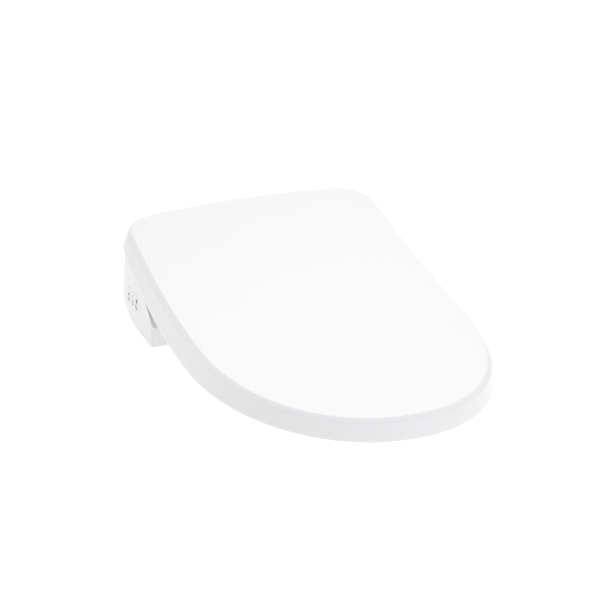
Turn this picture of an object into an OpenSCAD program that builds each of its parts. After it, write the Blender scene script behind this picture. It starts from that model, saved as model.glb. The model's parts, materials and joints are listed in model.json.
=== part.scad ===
// Electric bidet seat: a curved lid and a heated seat ring share one hinge line at the back of a
// housing that holds the heater, valves, wash nozzles, warm-air dryer and deodoriser.
// Frame: +X right seen from the front, +Y to the back, +Z up. The origin is midway between the two
// bowl bolts, on the plane that the housing stands on.

/* [Lid] */
// Width across the lid's skirt
lid_w = 380; // [370:1:390]
// Length from the rear edge to the front tip
lid_l = 514; // [504:1:524]
// Distance from the bolt line back to the lid's rear edge
rear_y = 72; // [71:0.5:73]
// Height of the lid's top at its front tip
lid_front_h = 53.6; // [52:0.2:56]
// Extra height of the lid's top that its straight slope adds towards the rear
lid_slope_h = 36; // [34:0.5:38]
// Extra height that the upward sweep adds at the rear edge
lid_sweep_h = 36.8; // [35:0.2:38]
// Drop of the lid's top from its centre line to its side edges
lid_crown = 11.7; // [10:0.1:13]
// Width of the bevel round the top
bevel_w = 5.8; // [4:0.1:7]
// Height of the bevel round the top
bevel_h = 4; // [3:0.1:5]
// Inward lean of the skirt, bottom to bevel
skirt_draft = 4.5; // [3:0.1:5]
// Wall thickness of the lid
lid_wall = 3.5; // [3:0.1:3.6]
// Height of the skirt's lower edge at the front tip
skirt_front_z = 25.4; // [25:0.1:27]
// Rise of the skirt's lower edge towards the rear
skirt_rise = 78.6; // [77:0.1:80]

/* [Seat] */
// Gap in plan between the lid's skirt and the seat ring's outside
seat_inset = 9; // [8:0.5:10]
// Half width of the ring's opening
opening_half_w = 106; // [100:1:110]
// Half length of the ring's opening
opening_half_l = 138; // [132:1:140]
// Wall thickness of the seat's shells
seat_wall = 3; // [2.5:0.1:3.5]
// Thickness of the seat's side arms
arm_t = 12; // [10:0.5:12]

/* [Housing] */
// Distance from the bolt line forward to the housing's front wall
front_y = 60; // [58:0.5:61]
// Radius of the curve under the housing's rear
rear_r = 73; // [72:0.5:73.5]
// Wall thickness of the housing
wall = 2.5; // [2:0.1:2.8]
// Height where the tray and the rear cover meet
split_z = 40; // [38:0.5:42]
// Half width of the housing between its end caps
core_x = 147; // [146:0.5:148]

/* [Hinge] */
// Distance from the bolt line back to the hinge line
hinge_y = 56; // [55.5:0.1:56.5]
// Height of the hinge line
hinge_z = 98; // [97.5:0.1:98.5]
// Radius of the hinge shafts
shaft_r = 4; // [3.5:0.1:4.5]
// Radial running clearance round the shafts
run_gap = 0.05; // [0.03:0.01:0.09]

/* [Mounting] */
// Distance between the two bowl bolts
bolt_spacing = 155; // [150:1:160]
// Radius of the slots' ends
slot_r = 4.5; // [4.2:0.1:5]
// Length of each slot, end to end
slot_l = 30; // [24:1:34]

/* [Washing] */
// Downward slope of the nozzles, in degrees
nozzle_slope = 20; // [18:0.5:21]
// Radius of a nozzle tube
nozzle_r = 6; // [5.5:0.1:6.5]
// Distance of each nozzle from the middle plane
nozzle_x = 11; // [10.5:0.1:12]

/* [Hidden] */
$fn = 48;
// Radii of the lid's rear corners in plan, across and along
corner_x = 47.6;
corner_y = 37.7;
// How far each side runs in from the widest place to the rear corner, and the power of that curve
side_taper = 10.7;
side_power = 1.8;
// Distance from the rear edge to the widest place
wide_at = 278.6;
// Exponent of the front curve: 2 is an ellipse
front_power = 2.11;
// Share of the lid's length that the upward sweep and the skirt's rise take
sweep_share = 0.6;
skirt_share = 0.61;
// Power of the skirt's rise
skirt_power = 2.2;

// Centre of each rear corner in plan, the widest place, and the length of the front curve
corner_cx = lid_w/2 - side_taper - corner_x;
corner_cy = rear_y - corner_y;
wide_y = rear_y - wide_at;
front_len = lid_l - wide_at;

// Steps along the rear corner, the side and the front curve, and across the top
CORNER_STEPS = 7;
SIDE_STEPS = 9;
FRONT_STEPS = 16;
ACROSS = 8;
// Last angle of the front curve before its tip
TIP_ANGLE = 80;

// Share of the lid's length from its rear edge
function along(y) = (rear_y - y)/lid_l;
function pos(v) = max(0, v);

// Height of the lid's top at a place in plan
function top_z(x, y) = lid_front_h + lid_slope_h*(1 - along(y))
    + lid_sweep_h*pow(pos(1 - along(y)/sweep_share), 2) - lid_crown*pow(x/(lid_w/2), 2);

// Height of the skirt's lower edge
function skirt_z(y) = skirt_front_z - 2.7*(1 - along(y))
    + skirt_rise*pow(pos(1 - along(y)/skirt_share), skirt_power);

// Half width of the D outline on its straight side, drawn in by o
function side_x(y, o) = lid_w/2 - o
    - side_taper*pow(pos((y - wide_y)/(corner_cy - wide_y)), side_power);

// Point of the front curve at angle a, drawn in by o
function front_pt(a, o) = [(lid_w/2 - o)*pow(cos(a), 2/front_power),
    wide_y - (front_len - o)*pow(sin(a), 2/front_power)];

// Right half of the D outline drawn in by o, rear corner to front curve
function right_half(o) = concat(
    [for (i = [0:CORNER_STEPS]) let (a = 90 - 90*i/CORNER_STEPS)
        [corner_cx + (corner_x - o)*cos(a), corner_cy + (corner_y - o)*sin(a)]],
    [for (i = [1:SIDE_STEPS]) let (y = corner_cy + (wide_y - corner_cy)*i/SIDE_STEPS)
        [side_x(y, o), y]],
    [for (i = [1:FRONT_STEPS]) front_pt(TIP_ANGLE*i/FRONT_STEPS, o)]);

// Points in one half of the outline
HALF = CORNER_STEPS + SIDE_STEPS + FRONT_STEPS + 1;

// Height of the top cap's point j of row i, and its place in plan
function row_pt(i, j, o, h) = let (r = h[i], x = r[0]*(1 - 2*j/ACROSS))
    i < HALF - 1 ? [x, r[1]] :
    [x, wide_y - (front_len - o)*pow(pos(1 - pow(abs(x)/(lid_w/2 - o), front_power)), 1/front_power)];

// The closed D outline drawn in by o, as a polygon
function outline(o) = let (h = right_half(o)) concat(h,
    [for (j = [1:ACROSS - 1]) row_pt(HALF - 1, j, o, h)],
    [for (i = [HALF - 1:-1:0]) [-h[i][0], h[i][1]]]);

// A closed ring of points in the order of outline(), with the rear edge divided as well
function ring(o) = let (h = right_half(o)) concat(outline(o),
    [for (j = [1:ACROSS - 1]) [-h[0][0]*(1 - 2*j/ACROSS), h[0][1]]]);

// Points in a whole ring
RING = 2*HALF + 2*(ACROSS - 1);

// Index in a ring of the point at row i, column j where the cap meets it
function edge_index(i, j) = j == 0 ? i : j == ACROSS ? 2*HALF + ACROSS - 2 - i :
    i == HALF - 1 ? HALF - 1 + j : RING - j;

// Extrudes a polygon drawn in (Y, Z) from x0 to x1
module span_x(x0, x1) translate([x0, 0, 0]) rotate([90, 0, 90]) linear_extrude(x1 - x0) children();

// A cylinder of radius r on a line along X
module rod_x(x0, x1, r) translate([x0, 0, 0]) rotate([0, 90, 0]) cylinder(r = r, h = x1 - x0);

// Places its child on the hinge line
module at_hinge() translate([0, hinge_y, hinge_z]) children();

// The lid's skin: outer and inner faces joined round the skirt's lower edge, as one closed surface
module lid_skin(t) {
    ROWS = 3*RING + (HALF - 2)*(ACROSS - 1);
    function skin(o, d) = let (h = right_half(o + skirt_draft + bevel_w),
        rim = ring(o + skirt_draft + bevel_w)) concat(
        [for (p = ring(o)) [p[0], p[1], skirt_z(p[1])]],
        [for (p = ring(o + skirt_draft)) [p[0], p[1], top_z(p[0], p[1]) - bevel_h - d]],
        [for (p = rim) [p[0], p[1], top_z(p[0], p[1]) - d]],
        [for (i = [1:HALF - 2], j = [1:ACROSS - 1]) let (p = row_pt(i, j, 0, h))
            [p[0], p[1], top_z(p[0], p[1]) - d]]);
    function cap(i, j) = (i == 0 || i == HALF - 1 || j == 0 || j == ACROSS)
        ? 2*RING + edge_index(i, j) : 3*RING + (i - 1)*(ACROSS - 1) + j - 1;
    faces = concat(
        [for (r = [0:1], k = [0:RING - 1], s = [0:1]) let (n = (k + 1)%RING)
            s == 0 ? [r*RING + k, (r + 1)*RING + n, (r + 1)*RING + k]
                : [r*RING + k, r*RING + n, (r + 1)*RING + n]],
        [for (i = [0:HALF - 2], j = [0:ACROSS - 1], s = [0:1])
            s == 0 ? [cap(i, j), cap(i + 1, j), cap(i, j + 1)]
                : [cap(i, j + 1), cap(i + 1, j), cap(i + 1, j + 1)]]);
    polyhedron(concat(skin(0, 0), skin(t, t)), concat(faces,
        [for (f = faces) [f[2] + ROWS, f[1] + ROWS, f[0] + ROWS]],
        [for (k = [0:RING - 1], s = [0:1]) let (n = (k + 1)%RING)
            s == 0 ? [k, n + ROWS, n] : [k, k + ROWS, n + ROWS]]));
}

// Places along the hinge line, as distances from the middle plane
hump_end = 120;
knuckle_in = 121;
knuckle_out = 131;
barrel_in = 132;
barrel_out = barrel_in + arm_t;
knuckle_r = 9;
bush_r = 6;
damper_r = 8.6;
damper_in = 66;
damper_out = hump_end - wall - 0.2;
shaft_in = 90;
shaft_out = 145;

// Centre of the curve under the housing's rear, along Y
curve_y = -10;
// Curve under the housing drawn in by t, from floor level z0 up to height z1
function under_rear(t, z0, z1) = let (r = rear_r - t, a0 = asin((z0 - rear_r)/r), a1 = asin((z1 - rear_r)/r))
    [for (i = [0:9]) let (a = a0 + (a1 - a0)*i/9) [curve_y + r*cos(a), rear_r + r*sin(a)]];

// Tops of the hump under the lid, of its shoulders under the seat's arms, and of the end caps
hump_drop = 13;
hump_back = 54.5;
shoulder_back = 36;
cap_back = 50;
shelf_z = 76;
seam_gap = 1.4;
// Height of the shadow line between the lid's skirt and the end caps
cap_gap = 3.4;
// Front of the end caps, and where and how far their top edge falls away from the lid's skirt
cap_front_y = 70;
cap_bend_y = 42;
cap_drop = 14.4;
cap_steps = 12;
function hump_pts(t, back) = [for (i = [0:6]) let (y = back + (-front_y + t - back)*i/6)
    [y, top_z(0, y) - hump_drop - t]];
function shoulder_pts(t) = [for (i = [0:6]) let (y = shoulder_back - t + (-front_y + 2*t - shoulder_back)*i/6)
    [y, skirt_z(y) - seam_gap - t]];
function cap_top_z(y) = skirt_z(y) - cap_gap
    - cap_drop*pow(pos(-y - cap_bend_y)/(cap_front_y - cap_bend_y), 1.5);
// Side profile of an end cap drawn in by t, with its front at the distance front
function cap_pts(t, front) = concat([[-front + t, t]], under_rear(t, t, rear_r - 1),
    [[rear_r + curve_y - t, shelf_z - t], [cap_back - t, shelf_z - t]],
    [for (i = [0:cap_steps]) let (y = cap_back - t - (cap_back + front - 2*t)*i/cap_steps)
        [y, cap_top_z(y) - t]]);
function cover_back(t) = concat([[under_rear(t, split_z, rear_r - 1)[0][0], split_z - 1]],
    under_rear(t, split_z, rear_r - 1), [[rear_r + curve_y - t, shelf_z - t]]);

// Level of the tray's floor, and the metal mounting plate under it
floor_z = 7.5;
plate_x = 111;
plate_back = 21;
plate_front = -50;
plate_t = 4;

// Openings in the housing's front wall
dryer_x0 = -76;
dryer_x1 = -44;
dryer_z0 = 14;
dryer_z1 = 29;
flap_y = -front_y + wall/2;
flap_z = dryer_z1 - 2;
flap_t = 1.6;
flap_pin_r = 1.1;

// Nozzles: travel, length and the driving pinion's place along the nozzle
nozzle_z0 = 17;
nozzle_start = 3;
nozzle_end = 98;
pinion_at = 22;
teeth = 14;
tooth_m = 1.2;
pinion_pitch_r = teeth*tooth_m/2;
rack_h = 8;
module at_nozzle(x) translate([x, -front_y, nozzle_z0]) rotate([nozzle_slope - 90, 0, 0]) children();
// The same frame turned so that a drawing's X runs up the slope and its Y stands square to it
module on_slope(x0, x1) translate([x0, -front_y, nozzle_z0]) rotate([nozzle_slope, 0, 0])
    rotate([90, 0, 90]) linear_extrude(x1 - x0) children();

// Side controls: their columns along the side and their two rows
key_ys = [17, 3, -11];
panel_y = 3;
key_row_z = 28;
lamp_row_z = 36.5;
key_r = 3.6;
panel_turn = 4.1;
panel_low = 22;
panel_high = 43;
panel_half = 24.5;
panel_r = 10.4;
module at_panel(y, z) translate([-side_x(panel_y, 2), panel_y, 0]) rotate([0, 0, -panel_turn])
    translate([0, y - panel_y, z]) children();

// Deodoriser slot and release button in the plain end cap
deo = [[112, -44, 10], [181, -14, 30]];
release_y = 4;
release_z = 18;
release_r = 5;

// Blower
blower_y = 6;
blower_z = 39;
blower_r = 24;
blower_x0 = -76;
blower_x1 = -44;

// Water path: height of the inlet line and its distance from the middle plane
inlet_x = 95;
inlet_z = 27.5;
thread_r = 10.3;
thread_l = 14;
tank = [[50, -48, floor_z], [110, 2, 50]];

// Places of the screw pillars in plan
pillars = [[-138, -50], [138, -50], [-138, 13.5], [138, 13.5]];
pillar_z = floor_z + 1;
feet = [[-128, -36], [128, -36], [-128, -14], [128, -14]];

// Every piece, in the order it is built

// ---- Housing ----

// Side profile of the tray drawn in by t, between two heights
module tray_profile(t, z0, z1) polygon(concat([[-front_y + t, z0]], under_rear(t, z0, split_z),
    [[under_rear(t, z0, split_z)[9][0], z1], [-front_y + t, z1]]));

// Tray: the lower half of the housing, with its front wall, pillars and openings
module base_tray() color("white") difference() {
    span_x(-core_x, core_x) tray_profile(0, 0, split_z);
    span_x(-core_x + wall, core_x - wall) tray_profile(wall, floor_z, split_z + 1);
    // recess for the mounting plate, access holes over its bolts, pockets for the feet
    translate([-plate_x - 1, plate_front - 0.5, -1])
        cube([2*plate_x + 2, plate_back - plate_front + 1, plate_t + 1.6]);
    for (s = [-1, 1]) translate([s*bolt_spacing/2, 0, -1]) cylinder(r = 13, h = 20);
    for (p = feet) translate([p[0], p[1], -1]) cylinder(r = 8.2, h = 3);
    // screw holes with recesses for the heads
    for (p = pillars) translate([p[0], p[1], -1]) {
        cylinder(r = 1.7, h = 20);
        cylinder(r = 3.4, h = 4);
    }
    // mouths of the nozzles and the dryer
    slot_y(-25, 25, 6, 30, 5);
    translate([dryer_x0, -front_y - 1, dryer_z0]) cube([dryer_x1 - dryer_x0, wall + 2, dryer_z1 - dryer_z0]);
    translate([0, flap_y, flap_z]) rod_x(dryer_x0 - 2.2, dryer_x1 + 2.2, flap_pin_r + run_gap);
    // ways for the deodoriser, the release button, the water inlet and the mains cable
    translate([core_x - wall - 1, deo[0][1] - 0.5, deo[0][2] - 0.5])
        cube([wall + 2, deo[1][1] - deo[0][1] + 1, deo[1][2] - deo[0][2] + 1]);
    translate([0, release_y, release_z]) rod_x(core_x - wall - 1, core_x + 1, release_r + 0.4);
    translate([inlet_x, 20, inlet_z]) rotate([-90, 0, 0]) cylinder(r = 11.5, h = 60);
    translate([-105, 20, 32]) rotate([-90, 0, 0]) cylinder(r = 6.2, h = 60);
}

// A rounded opening through the front wall from (x0, z0) to (x1, z1)
module slot_y(x0, x1, z0, z1, r) translate([0, -front_y + wall + 1, 0]) rotate([90, 0, 0])
    linear_extrude(wall + 4) round_rect(x0, z0, x1, z1, r);

// A rectangle with corners of radius r
module round_rect(x0, y0, x1, y1, r) {
    translate([x0 + r, y0]) square([x1 - x0 - 2*r, y1 - y0]);
    translate([x0, y0 + r]) square([x1 - x0, y1 - y0 - 2*r]);
    for (x = [x0 + r, x1 - r], y = [y0 + r, y1 - r]) translate([x, y]) circle(r);
}

// Block of the rear cover drawn in by t
module cover_block(t) {
    span_x(-core_x + t, core_x - t) polygon(concat([[-front_y + t, split_z - (t > 0 ? 1 : 0)]],
        cover_back(t), [[shoulder_back - t, shelf_z - t]], shoulder_pts(t)));
    span_x(-129 + t, 129 - t) polygon(concat([[-front_y + t, split_z - (t > 0 ? 1 : 0)],
        [shoulder_back - t, split_z - (t > 0 ? 1 : 0)]], hump_pts(t, shoulder_back - t)));
    span_x(-hump_end + t, hump_end - t) polygon(concat([[-front_y + t, split_z - (t > 0 ? 1 : 0)],
        [hump_back - t, split_z - (t > 0 ? 1 : 0)]], hump_pts(t, hump_back - t)));
    at_hinge() rod_x(-hump_end + t, hump_end - t, 11.5 - t);
}

// Cover over the rear, with the hump under the lid and the shoulders under the seat
module rear_cover() color("white") {
    difference() {
        cover_block(0);
        cover_block(wall);
        translate([-200, -100, split_z - 10]) cube([400, 200, 10]);
        at_hinge() rod_x(-hump_end - 1, hump_end + 1, shaft_r + 0.3);
    }
    for (p = pillars) translate([p[0], p[1], pillar_z]) difference() {
        cylinder(r = 3.6, h = skirt_z(p[1]) - pillar_z - seam_gap - wall/2);
        translate([0, 0, -1]) cylinder(r = 1.2, h = 16);
    }
}

// Plan of an end cap drawn in by t, with its front corner rounded
cap_corner_r = 4.5;
cap_inset = 2;
function cap_plan(t, front) = let (y0 = -front + cap_corner_r, x0 = side_x(y0, cap_inset) - cap_corner_r)
    concat([[core_x - 20, -front + t], [core_x - 20, rear_y - cap_inset - t]],
    [for (p = right_half(cap_inset + t)) if (p[1] > y0) p],
    [for (a = [0:-15:-90]) [x0 + (cap_corner_r - t)*cos(a), y0 + (cap_corner_r - t)*sin(a)]]);

// Block of an end cap from x0 outward, drawn in by t
module cap_block(t, front, x0) intersection() {
    linear_extrude(120) polygon(cap_plan(t, front));
    span_x(x0, 200) polygon(cap_pts(t, front));
}

// End cap on the +X side; the control side's cap is its mirror image
module end_cap_shell() difference() {
    cap_block(0, cap_front_y, core_x + 0.3);
    cap_block(wall, front_y, core_x - 1);
}

// The control panel's outline, widened by t and carried along the panel's own X
module panel_block(x0, x1, t) at_panel(panel_y, 0) translate([x0, 0, 0]) rotate([90, 0, 90])
    linear_extrude(x1 - x0)
    round_rect(-panel_half - t, panel_low - t, panel_half + t, panel_high + t, panel_r + t);

// End cap with the opening for the control panel
module control_end_cap() color("white") difference() {
    mirror([1, 0, 0]) end_cap_shell();
    panel_block(-4, 1.2, 0.25);
    at_panel(panel_y, 0) translate([0, -21, key_row_z - 5]) cube([8, 42, 17]);
}

// End cap with the openings for the cartridge and the release button
module plain_end_cap() color("white") difference() {
    end_cap_shell();
    translate([core_x - 1, deo[0][1] - 0.5, deo[0][2] - 0.5])
        cube([60, deo[1][1] - deo[0][1] + 1, deo[1][2] - deo[0][2] + 1]);
    translate([0, release_y, release_z]) rod_x(core_x - 1, 200, release_r + 0.4);
}

// Panel with holes for the keys and the lamps
module control_panel() color("whitesmoke") difference() {
    panel_block(-0.1, 1.2, 0);
    for (y = key_ys) {
        at_panel(y, key_row_z) rod_x(-2, 4, key_r + 0.3);
        at_panel(y, lamp_row_z) rod_x(-2, 4, 1.5);
    }
}

// Circuit board behind the keys
module control_board() color("darkgreen") at_panel(panel_y, 0)
    translate([6, -20, key_row_z - 4.5]) cube([1.6, 40, 14]);

// Key number i: its face, and a stem that reaches to the board
module key(i) color("white") at_panel(key_ys[i], key_row_z) {
    rod_x(-0.5, 2.2, key_r);
    rod_x(2.2, 4.6, 1.6);
}

// The three keys
module stop_key() key(2);
module rear_wash_key() key(1);
module front_wash_key() key(0);

// Lamp number i: a short light guide
module lamp(i) at_panel(key_ys[i], lamp_row_z) {
    rod_x(-0.3, 1.2, 1.5);
    rod_x(1.2, 2.6, 2.2);
}

// The lit lamp
module power_lamp() color("red") lamp(2);
module mode_lamps() color("lightgray") for (i = [0, 1]) lamp(i);

// Main circuit board on its edge, with its parts
module main_board() color("darkgreen") {
    translate([-136, -2, floor_z + 4]) cube([40, 1.6, 40]);
    translate([-130, -12, floor_z + 10]) cube([12, 10, 20]);
    translate([-114, -10, floor_z + 12]) cube([14, 8, 14]);
}

// Screws up through the tray into the pillars
module casing_screws() color("silver") for (p = pillars) translate([p[0], p[1], 1]) {
    cylinder(r = 2.8, h = 1.8);
    translate([0, 0, 1.8]) cylinder(r = 1.2, h = 14);
}

// Rubber feet
module base_feet() color("dimgray") for (p = feet) translate([p[0], p[1], 0]) cylinder(r = 8, h = 2);

// Metal plate that the bowl bolts clamp, with its two slots
module mounting_plate() color("silver") difference() {
    linear_extrude(plate_t)
        round_rect(-plate_x, plate_front, plate_x, plate_back, 8);
    for (s = [-1, 1]) translate([s*bolt_spacing/2, 0, -1]) linear_extrude(plate_t + 2) {
        translate([-slot_l/2 + slot_r, -slot_r]) square([slot_l - 2*slot_r, 2*slot_r]);
        for (t = [-1, 1]) translate([t*(slot_l/2 - slot_r), 0]) circle(slot_r);
    }
}

// Washers that slide along the slots
module slot_washers() color("silver") for (s = [-1, 1]) translate([s*bolt_spacing/2, 0, plate_t])
    difference() {
        cylinder(r = 12, h = 2);
        translate([0, 0, -1]) cylinder(r = slot_r + 0.1, h = 4);
    }

// Button that frees the housing from its plate
module release_button() color("lightgray") translate([0, release_y, release_z])
    difference() {
        rod_x(core_x - 10, side_x(release_y, 1.5), release_r);
        rod_x(core_x - 11, core_x - 4, release_r - 2);
    }

// ---- Water ----

// Water heater tank with its open top
module tank_body() color("lightgray") difference() {
    translate([0, 0, tank[0][2]]) linear_extrude(tank[1][2] - tank[0][2])
        round_rect(tank[0][0], tank[0][1], tank[1][0], tank[1][1], 6);
    translate([0, 0, tank[0][2] + 2.5]) linear_extrude(tank[1][2])
        round_rect(tank[0][0] + 2.5, tank[0][1] + 2.5, tank[1][0] - 2.5, tank[1][1] - 2.5, 4);
    translate([inlet_x, -5, inlet_z]) rotate([-90, 0, 0]) cylinder(r = 2.5, h = 20);
    translate([64, -5, 40]) rotate([-90, 0, 0]) cylinder(r = 2.5, h = 20);
}

// Lid of the tank
module tank_cover() color("gray") translate([0, 0, tank[1][2]]) difference() {
    linear_extrude(3) round_rect(tank[0][0], tank[0][1], tank[1][0], tank[1][1], 6);
    for (x = [64, 96]) translate([x, -23, -1]) cylinder(r = 3, h = 6);
}
// U-shaped heating rod hanging from the tank's cover
module heating_element() color("silver") translate([80, -23, 0]) {
    for (s = [-1, 1]) translate([s*16, 0, 32]) cylinder(r = 2.9, h = 26);
    translate([0, 0, 32]) rotate([-90, 0, 0]) rotate_extrude(angle = 180) translate([16, 0]) circle(2.9);
}

// Cut-out switch on top of the tank
module thermal_cutout() color("black") translate([80, -38, tank[1][2] + 3]) {
    cylinder(r = 6, h = 5);
    for (s = [-1, 1]) translate([s*4 - 0.4, -2, 5]) cube([0.8, 4, 5]);
}

// Tube from the inlet to the valve
module cold_water_tube() color("white") water_tube(inlet_x, inlet_z);
module warm_water_tube() color("white") water_tube(64, 40);
// A short straight tube from the tank to a valve
module water_tube(x, z) translate([x, tank[1][1], z]) rotate([-90, 0, 0]) difference() {
    cylinder(r = 4, h = 10);
    translate([0, 0, -1]) cylinder(r = 2.5, h = 12);
}

// Solenoid valve behind the inlet
module inlet_valve() color("ivory") difference() {
    union() {
        translate([inlet_x - 11, 12, inlet_z - 11]) cube([22, 13, 22]);
        translate([inlet_x, 18.5, inlet_z + 11]) cylinder(r = 6, h = 20);
        translate([inlet_x, 18.5, inlet_z + 13]) cylinder(r = 9.5, h = 15);
    }
    translate([inlet_x, 10, inlet_z]) rotate([-90, 0, 0]) cylinder(r = 2.5, h = 20);
}
// Threaded stub for a half-inch hose nut
module water_inlet() color("white") translate([inlet_x, 25, inlet_z]) rotate([-90, 0, 0]) difference() {
    union() {
        cylinder(r = thread_r - 0.7, h = 43);
        translate([0, 0, 43 - thread_l]) cylinder(r = thread_r, h = thread_l);
        cylinder(r = 13, h = 3);
    }
    translate([0, 0, -1]) cylinder(r = 3, h = 30);
    translate([0, 0, 22]) cylinder(r = 6.5, h = 30);
}

// Mesh cup in the inlet
module inlet_strainer() color("silver") translate([inlet_x, 47, inlet_z]) rotate([-90, 0, 0]) difference() {
    cylinder(r = 6.4, h = 16);
    translate([0, 0, 1]) cylinder(r = 5.4, h = 16);
}

// Valve that chooses the nozzle
module diverter_valve() color("ivory") {
    difference() {
        translate([54, 12, 30]) cube([24, 18, 20]);
        translate([64, 10, 40]) rotate([-90, 0, 0]) cylinder(r = 2.5, h = 14);
    }
    translate([66, 21, 50]) cylinder(r = 8, h = 14);
    translate([66, 21, floor_z + 8]) cylinder(r = 3, h = 30 - floor_z - 8);
}

// ---- Nozzles ----

// Sloping holder that both nozzles slide in
module nozzle_holder() color("lightgray") difference() {
    union() {
        on_slope(-21, 21) polygon([[8, -8.5], [92, -8.5], [92, 2], [8, 2]]);
        for (s = [-1, 1]) span_x(s > 0 ? 17 : -21, s > 0 ? 21 : -17)
            polygon([[-54, floor_z], [13, floor_z], [24, nozzle_z0 + 22], [-54, nozzle_z0 - 4]]);
        for (s = [-1, 1]) on_slope(s > 0 ? 21 : -24, s > 0 ? 24 : -21)
            polygon([[8, -8.5], [40, -8.5], [36, 27], [14, 27]]);
    }
    for (s = [-1, 1]) {
        at_nozzle(s*nozzle_x) cylinder(r = nozzle_r + 0.3, h = 110);
        on_slope(-30, 30) translate([pinion_at, rack_h + pinion_pitch_r]) circle(2.6);
    }
}

// Guard in front of the nozzles
module nozzle_guard() color("lightgray") translate([0, -front_y, 0]) rotate([90, 0, 0]) difference() {
    linear_extrude(1.8) round_rect(-29, 3, 29, 34, 8);
    translate([0, 0, -1]) linear_extrude(4) round_rect(-24, 7, 24, 29, 5);
}
// Nozzle tube with its rack on top
module nozzle_tube(x) color("whitesmoke") {
    difference() {
        at_nozzle(x) translate([0, 0, nozzle_start + 12])
            cylinder(r = nozzle_r, h = nozzle_end - nozzle_start - 12);
        at_nozzle(x) translate([0, 0, nozzle_start + 11]) cylinder(r = 2, h = 100);
    }
    on_slope(x - 3, x + 3) {
        translate([18, nozzle_r - 1]) square([78, 1.6]);
        for (i = [0:20]) translate([pinion_at + PI*tooth_m*(i + 0.5 - 1), nozzle_r + 0.6])
            polygon([[-1.1, 0], [1.1, 0], [0.35, rack_h - nozzle_r + 0.4], [-0.35, rack_h - nozzle_r + 0.4]]);
    }
}

// Tip with its spray hole
module nozzle_tip(x) color("white") difference() {
    at_nozzle(x) {
        translate([0, 0, nozzle_start + 4]) cylinder(r = nozzle_r, h = 8);
        translate([0, 0, nozzle_start]) cylinder(r1 = nozzle_r - 3, r2 = nozzle_r, h = 4);
    }
    at_nozzle(x) translate([0, 0, nozzle_start + 8]) rotate([90, 0, 0]) cylinder(r = 1, h = 10);
}

// Rear wash nozzle with its rack
module rear_nozzle() nozzle_tube(-nozzle_x);
module front_nozzle() nozzle_tube(nozzle_x);
module rear_nozzle_tip() nozzle_tip(-nozzle_x);
module front_nozzle_tip() nozzle_tip(nozzle_x);

// Pinion over the rack, with its shaft running out to a motor on side s
module pinion(s) color("ivory") {
    on_slope(s*nozzle_x - 4, s*nozzle_x + 4) translate([pinion_at, rack_h + pinion_pitch_r]) {
        circle(pinion_pitch_r - 1.4);
        for (i = [0:teeth - 1]) rotate(-90 + 360*i/teeth) translate([pinion_pitch_r - 1.6, 0])
            polygon([[0, -0.85], [0, 0.85], [2.4, 0.35], [2.4, -0.35]]);
    }
    on_slope(s > 0 ? nozzle_x : -34, s > 0 ? 34 : -nozzle_x) translate([pinion_at, rack_h + pinion_pitch_r])
        circle(1.5);
}

// Pinion that drives the rear wash nozzle
module rear_pinion() pinion(-1);
module front_pinion() pinion(1);
module drive_motor(s) color("silver") difference() {
    on_slope(s > 0 ? 24 : -40, s > 0 ? 40 : -24) translate([pinion_at, rack_h + pinion_pitch_r]) circle(9);
    on_slope(s > 0 ? 23 : -35, s > 0 ? 35 : -23) translate([pinion_at, rack_h + pinion_pitch_r])
        circle(1.5 + run_gap);
}

// Motor of the rear wash nozzle
module rear_drive_motor() drive_motor(-1);
module front_drive_motor() drive_motor(1);

// ---- Dryer and deodoriser ----

// Places its child on the fan's axis
module at_blower() translate([0, blower_y, blower_z]) children();
module blower_housing() color("dimgray") difference() {
    union() {
        at_blower() rod_x(blower_x0, blower_x1, blower_r);
        translate([blower_x0, -20, dryer_z0 + 1]) cube([blower_x1 - blower_x0, 26, 15]);
    }
    at_blower() rod_x(blower_x0 + 2, blower_x1 + 1, blower_r - 2);
    translate([blower_x0 + 2, -21, dryer_z0 + 3]) cube([blower_x1 - blower_x0 - 4, 27, 11]);
    at_blower() rod_x(blower_x0 - 1, blower_x0 + 3, 3);
}

// Cover of the fan housing, with its air inlet
module blower_cover() color("dimgray") at_blower() difference() {
    rod_x(blower_x1, blower_x1 + 2, blower_r);
    rod_x(blower_x1 - 1, blower_x1 + 3, 11);
}

// Fan motor
module blower_motor() color("silver") at_blower() difference() {
    rod_x(blower_x0 - 18, blower_x0, 12);
    rod_x(blower_x0 - 12, blower_x0 + 1, 1.5 + run_gap);
}

// Fan wheel with its blades
module blower_wheel() color("white") at_blower() {
    rod_x(blower_x0 + 4, blower_x0 + 6, 18);
    rod_x(blower_x0 + 4, blower_x0 + 18, 4);
    rod_x(blower_x0 - 11, blower_x0 + 5, 1.5);
    for (i = [0:15]) rotate([360*i/16, 0, 0]) translate([blower_x0 + 6, 13, -0.5]) rotate([14, 0, 0])
        cube([20, 4.8, 1]);
    difference() {
        rod_x(blower_x0 + 26, blower_x0 + 28, 18);
        rod_x(blower_x0 + 25, blower_x0 + 29, 13);
    }
}

// Duct from the fan to the front wall
module dryer_duct() color("dimgray") difference() {
    translate([blower_x0, -front_y + wall, dryer_z0 + 1])
        cube([blower_x1 - blower_x0, front_y - wall - 20, 15]);
    translate([blower_x0 + 2, -front_y, dryer_z0 + 3]) cube([blower_x1 - blower_x0 - 4, front_y, 11]);
}
// Flap over the dryer's mouth, with a pin at each end of its top edge
module dryer_flap() color("white") {
    translate([dryer_x0 + 0.6, flap_y - flap_t/2, dryer_z0 + 0.6])
        cube([dryer_x1 - dryer_x0 - 1.2, flap_t, flap_z - dryer_z0 - 0.6]);
    translate([0, flap_y, flap_z]) rod_x(dryer_x0 - 2, dryer_x1 + 2, flap_pin_r);
}

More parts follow.
